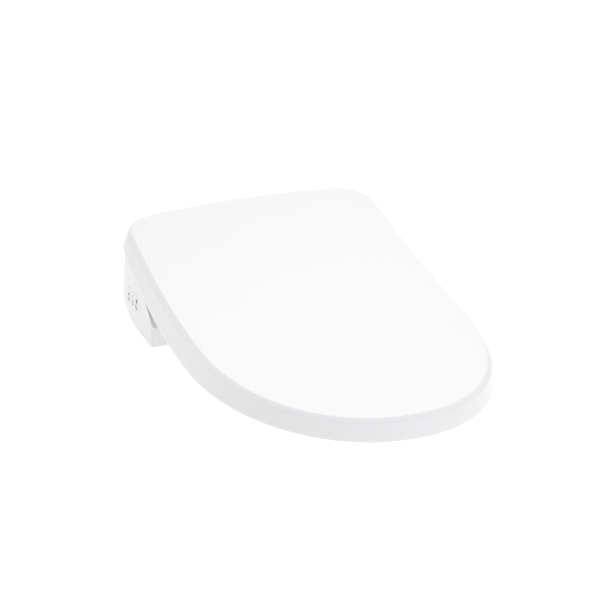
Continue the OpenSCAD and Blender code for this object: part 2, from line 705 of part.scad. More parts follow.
// Cartridge that slides out of the side
module deodoriser_cartridge() color("gray") difference() {
    translate(deo[0]) cube(deo[1] - deo[0]);
    for (i = [0:5]) translate([deo[0][0] + 6, deo[0][1] + 3 + 4.4*i, deo[0][2] + 3]) cube([40, 2.4, 30]);
    translate([deo[1][0] - 3, deo[0][1] + 8, deo[0][2] + 4]) cube([4, 14, 5]);
}

// Gland where the power cord enters
module cable_gland() color("white") translate([-105, 35.5, 32]) rotate([-90, 0, 0]) difference() {
    union() {
        cylinder(r = 6, h = 26.5);
        cylinder(r = 9, h = 4);
    }
    translate([0, 0, -1]) cylinder(r = 3.5, h = 40);
}

// ---- Hinges ----

// Rotary damper in the hump, round the shaft of one side
module damper(s) color("dimgray") at_hinge() difference() {
    rod_x(s > 0 ? damper_in : -damper_out, s > 0 ? damper_out : -damper_in, damper_r);
    rod_x(s > 0 ? shaft_in - 1 : -damper_out - 1, s > 0 ? damper_out + 1 : -shaft_in + 1, shaft_r + run_gap);
}

// Damper of the seat
module seat_damper() damper(-1);
module lid_damper() damper(1);
module shaft(s) color("silver") at_hinge()
    rod_x(s > 0 ? shaft_in : -shaft_out, s > 0 ? shaft_out : -shaft_in, shaft_r);
module seat_hinge_shaft() shaft(-1);
module lid_hinge_shaft() shaft(1);
module bush(x0, x1) color("gold") at_hinge() difference() {
    rod_x(x0, x1, bush_r);
    rod_x(x0 - 1, x1 + 1, shaft_r + run_gap);
}

// Bush in the seat's eye
module seat_bush() bush(barrel_in, barrel_out);
module lid_bush() bush(-knuckle_out, -knuckle_in);

// ---- Seat ----

// Straight rear edge of the seat ring
ring_back = -front_y - 3.5;
opening_y = ring_back - 32 - opening_half_l;
seat_top_line = [[ring_back, 68], [-110, 60], [-160, 54], [-250, 48], [-340, 43.5], [-440, 41]];
seat_low_line = [[-440, 22.6], [-180, 22.6], [-140, 24.5], [-110, 30], [ring_back, 40]];
bottom_t = 5;

// Plan of the ring, its outside drawn in by o and its opening widened by o
module ring_plan(o) difference() {
    intersection() {
        polygon(outline(seat_inset + o));
        translate([-200, -500]) square([400, 500 + ring_back - o]);
    }
    translate([0, opening_y]) polygon([for (i = [0:59]) let (a = 6*i, c = cos(a), s = sin(a))
        [(opening_half_w + o)*sign(c)*pow(abs(c), 2/2.25),
            (opening_half_l + o)*sign(s)*pow(abs(s), 2/2.25)]]);
}

// A height line moved up by d
function shifted(line, d) = [for (p = line) [p[0], p[1] + d]];
// The ring between two side lines, each moved by a distance
module ring_band(o, low, high) intersection() {
    linear_extrude(120) ring_plan(o);
    span_x(-200, 200) polygon(concat(low, high));
}

arm_low = [for (i = [0:6]) let (y = -70 + 116*i/6) [y, skirt_z(y) + 2.5]];
arm_high = [for (i = [0:6]) let (y = 46 - 116*i/6) [y, skirt_z(y) + 15.5]];
module seat_top() color("white") difference() {
    union() {
        difference() {
            ring_band(0, seat_low_line, seat_top_line);
            ring_band(seat_wall, shifted(seat_low_line, -1), shifted(seat_top_line, -seat_wall));
        }
        for (s = [-1, 1]) {
            span_x(s > 0 ? barrel_in : -barrel_out, s > 0 ? barrel_out : -barrel_in)
                polygon(concat(arm_low, [[hinge_y, hinge_z - knuckle_r], [hinge_y, hinge_z + knuckle_r]],
                    arm_high));
            at_hinge() rod_x(s > 0 ? barrel_in : -barrel_out, s > 0 ? barrel_out : -barrel_in, knuckle_r);
        }
    }
    at_hinge() rod_x(-barrel_out - 1, -barrel_in + 1, shaft_r);
    at_hinge() rod_x(barrel_in - 1, barrel_out + 1, bush_r);
}

// Bottom shell of the seat
module seat_bottom() color("white") {
    ring_band(seat_wall, seat_low_line, shifted([for (i = [4:-1:0]) seat_low_line[i]], 3));
    ring_band(8, shifted(seat_low_line, -bottom_t), [for (i = [4:-1:0]) seat_low_line[i]]);
}

// Heater mat between the shells
module seat_heater() color("orange") ring_band(seat_wall + 4,
    shifted([for (i = [5:-1:0]) seat_top_line[i]], -seat_wall - 1.2), shifted(seat_top_line, -seat_wall));

// Places of the bumpers under the seat, one side
seat_bumper_at = [[30, -385], [143, -152]];
bumper_r = 7;
module seat_bumpers() color("dimgray") for (p = seat_bumper_at, s = [-1, 1])
    translate([s*p[0], p[1], 0]) {
        translate([0, 0, 2])
            cylinder(r = bumper_r, h = lookup(p[1] - bumper_r, seat_low_line) - bottom_t - 2);
        cylinder(r1 = bumper_r - 2, r2 = bumper_r, h = 2);
    }

// ---- Lid ----

// Lid: its skin, with the eyes and webs at the hinge
module lid_shell() color("white") difference() {
    union() {
        lid_skin(lid_wall);
        for (s = [-1, 1]) at_hinge() {
            rod_x(s > 0 ? knuckle_in : -knuckle_out, s > 0 ? knuckle_out : -knuckle_in, knuckle_r);
            translate([s > 0 ? knuckle_in : -knuckle_out, -6, 0]) cube([knuckle_out - knuckle_in, 12, 15]);
        }
    }
    at_hinge() rod_x(-knuckle_out - 1, -knuckle_in + 1, bush_r);
    at_hinge() rod_x(knuckle_in - 1, knuckle_out + 1, shaft_r);
}

// Places of the bumpers under the lid, one side
lid_bumper_at = [[90, -385], [150, -118]];
module lid_bumpers() color("dimgray") for (p = lid_bumper_at, s = [-1, 1])
    translate([s*p[0], p[1], lookup(p[1] + bumper_r, seat_top_line) + 0.1]) {
        cylinder(r1 = bumper_r - 2, r2 = bumper_r, h = 2);
        translate([0, 0, 2]) cylinder(r = bumper_r, h = top_z(p[0] + bumper_r, p[1] - bumper_r)
            - lid_wall - 2.2 - lookup(p[1] + bumper_r, seat_top_line));
    }

base_tray();
rear_cover();
control_end_cap();
plain_end_cap();
control_panel();
control_board();
power_lamp();
mode_lamps();
stop_key();
rear_wash_key();
front_wash_key();
main_board();
tank_body();
tank_cover();
heating_element();
thermal_cutout();
inlet_valve();
water_inlet();
inlet_strainer();
diverter_valve();
cold_water_tube();
warm_water_tube();
nozzle_holder();
nozzle_guard();
rear_nozzle();
front_nozzle();
rear_nozzle_tip();
front_nozzle_tip();
rear_drive_motor();
front_drive_motor();
rear_pinion();
front_pinion();
blower_housing();
blower_cover();
blower_motor();
blower_wheel();
dryer_duct();
dryer_flap();
deodoriser_cartridge();
seat_damper();
lid_damper();
cable_gland();
casing_screws();
base_feet();
mounting_plate();
slot_washers();
release_button();
seat_top();
seat_bottom();
seat_heater();
seat_bumpers();
seat_hinge_shaft();
seat_bush();
lid_shell();
lid_bumpers();
lid_hinge_shaft();
lid_bush();
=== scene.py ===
import json
import math

import bmesh
import bpy
import numpy as np
from mathutils import Matrix, Vector


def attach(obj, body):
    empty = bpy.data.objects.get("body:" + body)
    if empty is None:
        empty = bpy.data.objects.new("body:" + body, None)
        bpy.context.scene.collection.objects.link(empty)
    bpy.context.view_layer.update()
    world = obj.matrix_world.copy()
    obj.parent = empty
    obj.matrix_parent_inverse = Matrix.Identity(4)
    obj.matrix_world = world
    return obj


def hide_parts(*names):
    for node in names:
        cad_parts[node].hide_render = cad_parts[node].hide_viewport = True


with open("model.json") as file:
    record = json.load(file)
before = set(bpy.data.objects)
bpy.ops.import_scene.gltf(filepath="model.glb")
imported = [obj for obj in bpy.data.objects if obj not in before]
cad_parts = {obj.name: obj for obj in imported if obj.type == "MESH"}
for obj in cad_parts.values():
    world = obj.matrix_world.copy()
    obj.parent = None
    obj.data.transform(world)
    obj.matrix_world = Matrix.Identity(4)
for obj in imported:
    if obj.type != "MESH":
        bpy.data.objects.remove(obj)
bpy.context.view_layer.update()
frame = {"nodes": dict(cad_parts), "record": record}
nodes = frame["nodes"]
MM = 0.001

# ---------------------------------------------------------------- shape of the D, as the CAD has it (mm)

LID_W, LID_L, REAR_Y = 380.0, 514.0, 72.0
CORNER_X, CORNER_Y, SIDE_TAPER, SIDE_POWER = 47.6, 37.7, 10.7, 1.8
WIDE_AT, FRONT_POWER = 278.6, 2.11
CORNER_CX, CORNER_CY = LID_W / 2 - SIDE_TAPER - CORNER_X, REAR_Y - CORNER_Y
WIDE_Y, FRONT_LEN = REAR_Y - WIDE_AT, LID_L - WIDE_AT
DRAFT, BEVEL_W, BEVEL_H, WALL = 4.5, 5.8, 4.0, 3.5
HINGE_Y, HINGE_Z = 56.0, 98.0


def along(y):
    """Share of the lid's length from its rear edge."""
    return (REAR_Y - y) / LID_L


def top_z(x, y):
    """Height of the lid's top: a slope, an upward sweep at the rear and a crown across."""
    rise = max(0.0, 1 - along(y) / 0.6)
    return 53.6 + 36.0 * (1 - along(y)) + 36.8 * rise**2 - 11.7 * (x / (LID_W / 2)) ** 2


def skirt_z(y):
    """Height of the skirt's lower edge."""
    return 25.4 - 2.7 * (1 - along(y)) + 78.6 * max(0.0, 1 - along(y) / 0.61) ** 2.2


def side_x(y, o):
    """Half width of the D on its straight side, drawn in by o."""
    t = max(0.0, (y - WIDE_Y) / (CORNER_CY - WIDE_Y))
    return LID_W / 2 - o - SIDE_TAPER * t**SIDE_POWER


def right_half(o, n=1.0):
    """Right half of the D drawn in by o, from the rear corner round to the front tip."""
    corner, side, front = int(24 * n), int(40 * n), int(64 * n)
    pts = []
    for i in range(corner + 1):
        a = math.radians(90 - 90 * i / corner)
        pts.append((CORNER_CX + (CORNER_X - o) * math.cos(a), CORNER_CY + (CORNER_Y - o) * math.sin(a)))
    for i in range(1, side + 1):
        y = CORNER_CY + (WIDE_Y - CORNER_CY) * i / side
        pts.append((side_x(y, o), y))
    for i in range(1, front + 1):
        a = math.radians(90) * i / front
        c, s = max(0.0, math.cos(a)), math.sin(a)
        pts.append(((LID_W / 2 - o) * c ** (2 / FRONT_POWER), WIDE_Y - (FRONT_LEN - o) * s ** (2 / FRONT_POWER)))
    return pts


REAR_CUTS = 40


def ring(o):
    """Closed D drawn in by o: right side, front tip, left side, then the rear edge."""
    h = right_half(o)
    left = [(-x, y) for x, y in h[-2::-1]]
    x0, y0 = h[0]
    rear = [(-x0 + 2 * x0 * i / REAR_CUTS, y0) for i in range(1, REAR_CUTS)]
    return h + left + rear


# ---------------------------------------------------------------- mesh helpers


def mesh(name, verts, faces, smooth=True, angle=None):
    """A mesh object from millimetre points."""
    me = bpy.data.meshes.new(name)
    me.from_pydata([(x * MM, y * MM, z * MM) for x, y, z in verts], [], faces)
    me.validate()
    bm = bmesh.new()
    bm.from_mesh(me)
    bmesh.ops.recalc_face_normals(bm, faces=bm.faces)
    bm.to_mesh(me)
    bm.free()
    me.shade_smooth() if smooth else me.shade_flat()
    ob = bpy.data.objects.new(name, me)
    bpy.context.scene.collection.objects.link(ob)
    if angle is not None:
        sharpen(ob, angle)
    return ob


def sharpen(ob, angle):
    """Smooth shading with edges sharper than the angle left crisp."""
    ob.data.shade_smooth()
    ob.data.set_sharp_from_angle(angle=math.radians(angle))


def loft(rings):
    """Points and quads for a stack of closed rings with the same number of points."""
    n = len(rings[0])
    verts = [p for r in rings for p in r]
    faces = []
    for r in range(len(rings) - 1):
        for k in range(n):
            j = (k + 1) % n
            faces.append((r * n + k, r * n + j, (r + 1) * n + j, (r + 1) * n + k))
    return verts, faces


def prism(name, outline_yz, x0, x1, bevel=0.8, angle=30):
    """A (Y, Z) outline carried from x0 to x1, with its edges eased."""
    n = len(outline_yz)
    verts = [(x0, y, z) for y, z in outline_yz] + [(x1, y, z) for y, z in outline_yz]
    faces = [tuple(range(n)), tuple(range(2 * n - 1, n - 1, -1))]
    faces += [(k, (k + 1) % n, n + (k + 1) % n, n + k) for k in range(n)]
    ob = mesh(name, verts, faces, angle=angle)
    ease(ob, bevel, angle)
    return ob


def ease(ob, width, angle=35, segments=3):
    """Rounds an object's sharp edges by width, in millimetres."""
    mod = ob.modifiers.new("ease", "BEVEL")
    mod.width = width * MM
    mod.segments = segments
    mod.limit_method = "ANGLE"
    mod.angle_limit = math.radians(angle)
    mod.harden_normals = True
    return mod


def tube(name, x0, x1, y, z, r, hole=0.0, bevel=0.5):
    """A round bar, or a ring if it has a hole, lying along X."""
    n = 72
    prof = [(r - bevel, x0), (r, x0 + bevel), (r, x1 - bevel), (r - bevel, x1)]
    if hole:
        prof += [(hole + 0.2, x1), (hole, x1 - 0.2), (hole, x0 + 0.2), (hole + 0.2, x0)]
    rings = []
    for rr, x in prof:
        turn = [2 * math.pi * k / n for k in range(n)]
        rings.append([(x, y + rr * math.cos(a), z + rr * math.sin(a)) for a in turn])
    verts, faces = loft(rings)
    if hole:
        m = (len(prof) - 1) * n
        faces += [(m + k, m + (k + 1) % n, (k + 1) % n, k) for k in range(n)]
    else:
        faces += [tuple(range(n)), tuple(range(len(prof) * n - 1, (len(prof) - 1) * n - 1, -1))]
    return mesh(name, verts, faces, angle=40)


# ---------------------------------------------------------------- materials


def principled(name):
    """An empty material: itself, its node tree and its shader."""
    mat = bpy.data.materials.new(name)
    mat.use_nodes = True
    return mat, mat.node_tree, mat.node_tree.nodes["Principled BSDF"]


def plastic(name, colour, rough=0.25, coat=0.0, grain=0.0, grain_size=900.0, wave=0.0, vary=0.04, ior=1.5):
    """Moulded plastic: fine grain, a slight unevenness in its gloss, and the faint long waves of a moulded skin."""
    mat, tree, bsdf = principled(name)
    bsdf.inputs["Base Color"].default_value = (*colour, 1)
    bsdf.inputs["IOR"].default_value = ior
    bsdf.inputs["Coat Weight"].default_value = coat
    bsdf.inputs["Coat Roughness"].default_value = 0.06
    coord = tree.nodes.new("ShaderNodeTexCoord")
    cloud = tree.nodes.new("ShaderNodeTexNoise")
    cloud.inputs["Scale"].default_value = 14
    cloud.inputs["Detail"].default_value = 6
    tree.links.new(coord.outputs["Object"], cloud.inputs["Vector"])
    span = tree.nodes.new("ShaderNodeMapRange")
    span.inputs["To Min"].default_value = rough - vary
    span.inputs["To Max"].default_value = rough + vary
    tree.links.new(cloud.outputs["Fac"], span.inputs["Value"])
    tree.links.new(span.outputs["Result"], bsdf.inputs["Roughness"])
    fine = tree.nodes.new("ShaderNodeTexNoise")
    fine.inputs["Scale"].default_value = grain_size
    fine.inputs["Detail"].default_value = 3
    tree.links.new(coord.outputs["Object"], fine.inputs["Vector"])
    bump = tree.nodes.new("ShaderNodeBump")
    bump.inputs["Strength"].default_value = max(grain, 0.01)
    bump.inputs["Distance"].default_value = 0.0002
    tree.links.new(fine.outputs["Fac"], bump.inputs["Height"])
    if wave:
        slow = tree.nodes.new("ShaderNodeTexNoise")
        slow.inputs["Scale"].default_value = 9
        slow.inputs["Detail"].default_value = 1
        tree.links.new(coord.outputs["Object"], slow.inputs["Vector"])
        soft = tree.nodes.new("ShaderNodeBump")
        soft.inputs["Strength"].default_value = wave
        soft.inputs["Distance"].default_value = 0.002
        tree.links.new(slow.outputs["Fac"], soft.inputs["Height"])
        tree.links.new(soft.outputs["Normal"], bump.inputs["Normal"])
    tree.links.new(bump.outputs["Normal"], bsdf.inputs["Normal"])
    return mat


def metal(name, colour, rough=0.3, stretch=(1, 1, 60)):
    """Turned or drawn metal with fine lines along one direction."""
    mat, tree, bsdf = principled(name)
    bsdf.inputs["Base Color"].default_value = (*colour, 1)
    bsdf.inputs["Metallic"].default_value = 1
    coord = tree.nodes.new("ShaderNodeTexCoord")
    place = tree.nodes.new("ShaderNodeMapping")
    place.inputs["Scale"].default_value = stretch
    lines = tree.nodes.new("ShaderNodeTexNoise")
    lines.inputs["Scale"].default_value = 220
    lines.inputs["Detail"].default_value = 4
    tree.links.new(coord.outputs["Object"], place.inputs["Vector"])
    tree.links.new(place.outputs["Vector"], lines.inputs["Vector"])
    span = tree.nodes.new("ShaderNodeMapRange")
    span.inputs["To Min"].default_value = rough - 0.08
    span.inputs["To Max"].default_value = rough + 0.1
    tree.links.new(lines.outputs["Fac"], span.inputs["Value"])
    tree.links.new(span.outputs["Result"], bsdf.inputs["Roughness"])
    bump = tree.nodes.new("ShaderNodeBump")
    bump.inputs["Strength"].default_value = 0.12
    bump.inputs["Distance"].default_value = 0.0002
    tree.links.new(lines.outputs["Fac"], bump.inputs["Height"])
    tree.links.new(bump.outputs["Normal"], bsdf.inputs["Normal"])
    return mat


def rubber(name, colour):
    """Matt rubber with a coarse skin."""
    return plastic(name, colour, rough=0.7, grain=0.25, grain_size=1400, vary=0.08, ior=1.45)


def board(name, colour):
    """Solder mask with copper tracks showing through it as a slight change of green."""
    mat, tree, bsdf = principled(name)
    bsdf.inputs["Roughness"].default_value = 0.35
    coord = tree.nodes.new("ShaderNodeTexCoord")
    bricks = tree.nodes.new("ShaderNodeTexBrick")
    bricks.inputs["Scale"].default_value = 260
    bricks.inputs["Color1"].default_value = (*colour, 1)
    bricks.inputs["Color2"].default_value = (*[c * 1.35 for c in colour], 1)
    bricks.inputs["Mortar"].default_value = (*[c * 0.6 for c in colour], 1)
    bricks.inputs["Mortar Size"].default_value = 0.03
    tree.links.new(coord.outputs["Object"], bricks.inputs["Vector"])
    tree.links.new(bricks.outputs["Color"], bsdf.inputs["Base Color"])
    bump = tree.nodes.new("ShaderNodeBump")
    bump.inputs["Strength"].default_value = 0.2
    bump.inputs["Distance"].default_value = 0.0001
    tree.links.new(bricks.outputs["Fac"], bump.inputs["Height"])
    tree.links.new(bump.outputs["Normal"], bsdf.inputs["Normal"])
    return mat


def lens(name, colour, glow):
    """Clear tinted plastic with a light behind it."""
    mat = plastic(name, colour, rough=0.12, coat=0.6, grain=0.02, vary=0.03)
    bsdf = mat.node_tree.nodes["Principled BSDF"]
    bsdf.inputs["Emission Color"].default_value = (*colour, 1)
    bsdf.inputs["Emission Strength"].default_value = glow
    return mat


def foil(name):
    """Heater laminate: brushed foil with a serpentine printed in it."""
    mat, tree, bsdf = principled(name)
    bsdf.inputs["Metallic"].default_value = 0.7
    bsdf.inputs["Roughness"].default_value = 0.4
    coord = tree.nodes.new("ShaderNodeTexCoord")
    wave = tree.nodes.new("ShaderNodeTexWave")
    wave.inputs["Scale"].default_value = 40
    wave.inputs["Distortion"].default_value = 1.5
    ramp = tree.nodes.new("ShaderNodeValToRGB")
    ramp.color_ramp.elements[0].color = (0.62, 0.5, 0.36, 1)
    ramp.color_ramp.elements[1].color = (0.8, 0.72, 0.6, 1)
    tree.links.new(coord.outputs["Object"], wave.inputs["Vector"])
    tree.links.new(wave.outputs["Fac"], ramp.inputs["Fac"])
    tree.links.new(ramp.outputs["Color"], bsdf.inputs["Base Color"])
    return mat


MATS = {
    "gloss_white": plastic("gloss_white", (0.865, 0.867, 0.882), rough=0.3, coat=0.15, wave=0.01, grain=0.01),
    "cap_white": plastic("cap_white", (0.86, 0.86, 0.85), rough=0.28, coat=0.2, grain=0.02),
    "grey_plastic": plastic("grey_plastic", (0.5, 0.51, 0.52), rough=0.45, grain=0.12, vary=0.06),
    "dark_plastic": plastic("dark_plastic", (0.07, 0.075, 0.08), rough=0.5, grain=0.2, vary=0.06),
    "ivory_plastic": plastic("ivory_plastic", (0.74, 0.69, 0.56), rough=0.4, grain=0.08, vary=0.05),
    "board_green": board("board_green", (0.015, 0.11, 0.05)),
    "red_lens": lens("red_lens", (0.22, 0.002, 0.012), 0.15),
    "clear_lens": lens("clear_lens", (0.7, 0.72, 0.74), 0.0),
    "print_dark": plastic("print_dark", (0.05, 0.045, 0.05), rough=0.5, grain=0.05),
    # pink for the ring round the lamp: a painted glow of the lamp's light, not print
    "painted_glow_pink": plastic("painted_glow_pink", (0.82, 0.55, 0.58), rough=0.5, grain=0.05),
    "print_wine": plastic("print_wine", (0.13, 0.008, 0.02), rough=0.5, grain=0.05),
    "print_grey": plastic("print_grey", (0.2, 0.2, 0.2), rough=0.5, grain=0.05),
    "steel": metal("steel", (0.6, 0.61, 0.62)),
    "mesh_steel": metal("mesh_steel", (0.5, 0.51, 0.52), rough=0.4, stretch=(8, 8, 8)),
    "rubber": rubber("rubber", (0.3, 0.3, 0.3)),
    "bronze": metal("bronze", (0.55, 0.36, 0.16), rough=0.35),
    "heater_foil": foil("heater_foil"),
}


def dress(ob, slot_name):
    """Gives an object one of the materials above, alone."""
    ob.data.materials.clear()
    ob.data.materials.append(MATS[slot_name])
    return ob


for part in frame["record"]["subparts"]:
    node = nodes[part["node"]]
    dress(node, part["material_slot"])
    sharpen(node, 28)


def piece(ob, body, slot_name, *stands_for):
    """Dresses a new piece and puts it on a body, in place of the CAD nodes that it stands for."""
    dress(ob, slot_name)
    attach(ob, body)
    if stands_for:
        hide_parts(*stands_for)
    return ob


# ---------------------------------------------------------------- lid


def lid_skin():
    """Outer skin with its eased bevel, inner skin, and the rounded lower edge of the skirt, as one closed mesh."""
    # (inset, height: 0 = skirt's lower edge, 1 = just under the bevel, or mm below the top)
    rings = []

    def at_top(o, below):
        rings.append([(x, y, top_z(x, y) - below) for x, y in ring(o)])

    def at_skirt(o, up):
        rings.append([(x, y, skirt_z(y) + up) for x, y in ring(o)])

    # up the inside from its top edge, round the lower edge, then up the outside
    at_top(WALL + DRAFT + BEVEL_W, WALL)
    at_top(WALL + DRAFT + 0.8, WALL + BEVEL_H - 0.6)
    at_top(WALL + DRAFT, WALL + BEVEL_H + 1)
    at_skirt(WALL + 0.1, 1.0)
    for a in range(0, 181, 20):
        c, s = math.cos(math.radians(a)), math.sin(math.radians(a))
        at_skirt(WALL / 2 + WALL / 2 * c + 0.05 * (1 - c), 0.9 - 0.9 * s)
    # the skirt's straight wall, blended from its lower edge to the foot of the bevel
    for t in (0.12, 0.3, 0.5, 0.7, 0.88, 0.95):
        r = []
        for (x0, y0), (x1, y1) in zip(ring(0.0), ring(DRAFT)):
            z0, z1 = skirt_z(y0) + 0.9, top_z(x1, y1) - BEVEL_H
            r.append((x0 + (x1 - x0) * t, y0 + (y1 - y0) * t, z0 + (z1 - z0) * t))
        rings.append(r)
    # the bevel, eased where it meets the wall and the top
    for o, b in ((DRAFT + 0.02, BEVEL_H + 0.25), (DRAFT + 0.12, BEVEL_H - 0.02), (DRAFT + 0.4, BEVEL_H - 0.3),
                 (DRAFT + 1.2, BEVEL_H - 0.86), (DRAFT + 4.6, 0.78), (DRAFT + 5.5, 0.2), (DRAFT + 5.8, 0.07),
                 (DRAFT + 6.2, 0.02), (DRAFT + 7.0, 0.0)):
        at_top(o, b)
    verts, faces = loft(rings)
    n = len(rings[0])
    return verts, faces, n, len(rings)


def cap(verts, faces, first_vertex, n, o, below):
    """Fills the ring that starts at first_vertex with rows straight across the D."""
    half = len(right_half(o))
    cols = REAR_CUTS
    h = right_half(o)

    def vid(i, j, inner):
        if j == 0:
            return first_vertex + i
        if j == cols:
            return first_vertex + (2 * half - 2 - i)
        if i == 0:
            return first_vertex + n - j
        return inner[(i, j)]

    inner = {}
    for i in range(1, half - 1):
        for j in range(1, cols):
            x = h[i][0] * (1 - 2 * j / cols)
            inner[(i, j)] = len(verts)
            verts.append((x, h[i][1], top_z(x, h[i][1]) - below))
    for i in range(half - 2):
        for j in range(cols):
            faces.append((vid(i, j, inner), vid(i + 1, j, inner), vid(i + 1, j + 1, inner), vid(i, j + 1, inner)))
    tip = first_vertex + half - 1
    for j in range(cols):
        faces.append((vid(half - 2, j, inner), tip, vid(half - 2, j + 1, inner)))


def make_lid():
    """The lid's outer and inner skins, closed by a top of straight rows."""
    verts, faces, n, count = lid_skin()
    cap(verts, faces, (count - 1) * n, n, DRAFT + 7.0, 0.0)
    cap(verts, faces, 0, n, WALL + DRAFT + BEVEL_W, WALL)
    ob = mesh("lid", verts, faces, angle=50)
    return piece(ob, "lid", "gloss_white", "lid_shell")


make_lid()
for s, hole in ((-1, 6.0), (1, 4.0)):
    x0, x1 = sorted((s * 121.0, s * 131.0))
    eye = tube(f"lid_eye_{'l' if s < 0 else 'r'}", x0, x1, HINGE_Y, HINGE_Z, 9.0, hole, 0.6)
    piece(eye, "lid", "gloss_white")
    web = prism(f"lid_web_{'l' if s < 0 else 'r'}", [(50, 104.6), (62, 104.6), (62, 114), (50, 113)], x0, x1, 0.6)
    piece(web, "lid", "gloss_white")

# ---------------------------------------------------------------- seat ring

RING_BACK, SEAT_INSET = -63.5, 9.0
OPEN_Y, OPEN_W, OPEN_L = -63.5 - 32 - 138, 106.0, 138.0
SEAT_TOP = [(-440, 41.0), (-340, 43.5), (-250, 48.0), (-160, 54.0), (-110, 60.0), (RING_BACK, 68.0)]
SEAT_LOW = [(-440, 22.6), (-180, 22.6), (-140, 24.5), (-110, 30.0), (RING_BACK, 40.0)]


def line_z(line, y):
    """Height of a line of (y, z) points at y."""
    return float(np.interp(y, [p[0] for p in line], [p[1] for p in line]))


def smooth_z(line, y, r=14):
    """The same height averaged over r either side, except close to the ring's rear edge."""
    return sum(line_z(line, y + d) for d in np.linspace(-r, r, 9)) / 9 if y < RING_BACK - r else line_z(line, y)


def seat_plan(n=360):
    """Pairs of points, on the ring's outside and on its opening, round the ring."""
    poly = [(x, y) for x, y in ring(SEAT_INSET)]
    outer = np.array([(x, min(y, RING_BACK)) for x, y in poly])
    pairs = []
    seg_a, seg_b = outer, np.roll(outer, -1, axis=0)
    for k in range(n):
        a = 2 * math.pi * k / n
        d = np.array((math.cos(a), math.sin(a)))
        o = np.array((0.0, OPEN_Y))
        e = seg_b - seg_a
        den = d[0] * e[:, 1] - d[1] * e[:, 0]
        with np.errstate(divide="ignore", invalid="ignore"):
            t = ((seg_a[:, 0] - o[0]) * e[:, 1] - (seg_a[:, 1] - o[1]) * e[:, 0]) / den
            u = ((seg_a[:, 0] - o[0]) * d[1] - (seg_a[:, 1] - o[1]) * d[0]) / den
        good = (t > 0) & (u >= -1e-9) & (u <= 1 + 1e-9)
        out = o + d * t[good].min()
        r = (abs(d[0] / OPEN_W) ** 2.25 + abs(d[1] / OPEN_L) ** 2.25) ** (-1 / 2.25)
        pairs.append((out, o + d * r))
    return pairs


def make_seat():
    """The seat's top shell: one profile carried round between its outside and its opening."""
    pairs = seat_plan()
    # where: "o" mm in from the outside, "i" mm in from the opening, "f" a share of the way across;
    # height: off the top "t", off the lower line "l", or off the middle "m", in millimetres
    profile = [("o", 2.6, "l", -1.0), ("o", 0.9, "l", 0.0), ("o", 0.1, "l", 1.6), ("o", 0.0, "l", 3.5)]
    profile += [("o", 0.0, "m", 0.5)]
    for a in range(0, 91, 15):
        c, s = math.cos(math.radians(a)), math.sin(math.radians(a))
        profile.append(("o", 7 - 7 * c, "t", -7 + 7 * s))
    profile += [("f", 0.3, "t", 0.0), ("f", 0.5, "t", 0.0), ("f", 0.7, "t", 0.0)]
    for a in range(90, -1, -15):
        c, s = math.cos(math.radians(a)), math.sin(math.radians(a))
        profile.append(("i", 9 - 9 * c, "t", -9 + 9 * s))
    profile += [("i", 0.0, "l", 2.5), ("i", 0.4, "l", 0.8), ("i", 2.0, "l", 0.0), ("i", 3.0, "l", 0.6)]
    profile += [("i", 3.0, "l", 6.0)]
    rings = []
    for where, dist, ref, off in profile:
        r = []
        for out, inn in pairs:
            d = inn - out
            width = np.linalg.norm(d)
            u = d / width
            p = out + u * dist if where == "o" else inn - u * dist if where == "i" else out + d * dist
            y = min(p[1], RING_BACK)
            hi, low = smooth_z(SEAT_TOP, y), line_z(SEAT_LOW, y)
            z = hi + off if ref == "t" else low + off if ref == "l" else (hi - 7 + low + 3.5) / 2 + off
            r.append((p[0], y, z))
        rings.append(r)
    verts, faces = loft(rings)
    ob = mesh("seat", verts, faces, angle=60)
    return piece(ob, "seat", "gloss_white", "seat_top")


make_seat()
for s, hole in ((-1, 4.0), (1, 6.0)):
    x0, x1 = sorted((s * 132.0, s * 144.0))
    side = "l" if s < 0 else "r"
    low = [(y, skirt_z(y) + 2.5) for y in np.linspace(-70, 46, 30)]
    high = [(y, skirt_z(y) + 15.5) for y in np.linspace(46, -70, 30)]
    arm = prism(f"seat_arm_{side}", low + [(54, 91), (54, 105)] + high, x0, x1, 1.2, 40)
    piece(arm, "seat", "gloss_white")
    eye = tube(f"seat_eye_{side}", x0, x1, HINGE_Y, HINGE_Z, 9.0, hole, 0.6)
    piece(eye, "seat", "gloss_white")

# ---------------------------------------------------------------- eased edges on the CAD's own pieces

for name, width in {
    "base_tray": 0.8, "rear_cover": 0.9, "control_end_cap": 1.2, "plain_end_cap": 1.2, "control_panel": 0.3,
    "stop_key": 0.35, "rear_wash_key": 0.35, "front_wash_key": 0.35, "release_button": 0.5,
    "mounting_plate": 0.5, "slot_washers": 0.3, "nozzle_guard": 0.4, "dryer_flap": 0.3,
    "deodoriser_cartridge": 0.6, "cable_gland": 0.4, "water_inlet": 0.4, "seat_bottom": 0.8,
    "base_feet": 0.3, "tank_body": 0.8, "tank_cover": 0.6, "blower_housing": 0.6, "power_lamp": 0.15,
    "mode_lamps": 0.15,
}.items():
    ease(nodes[name], width)

# ---------------------------------------------------------------- printed marks on the side controls, and a painted glow round the lamp

PANEL_Y, TURN = 3.0, math.radians(4.1)
PANEL_AT = Vector((-side_x(PANEL_Y, 2), PANEL_Y, 0))
ALONG = Vector((math.sin(TURN), math.cos(TURN), 0))
OUT = Vector((-math.cos(TURN), math.sin(TURN), 0))


def on_panel(y, z, off):
    """A place on the control panel, off its face by off."""
    p = PANEL_AT + ALONG * (y - PANEL_Y) + OUT * off
    return (p.x, p.y, z)


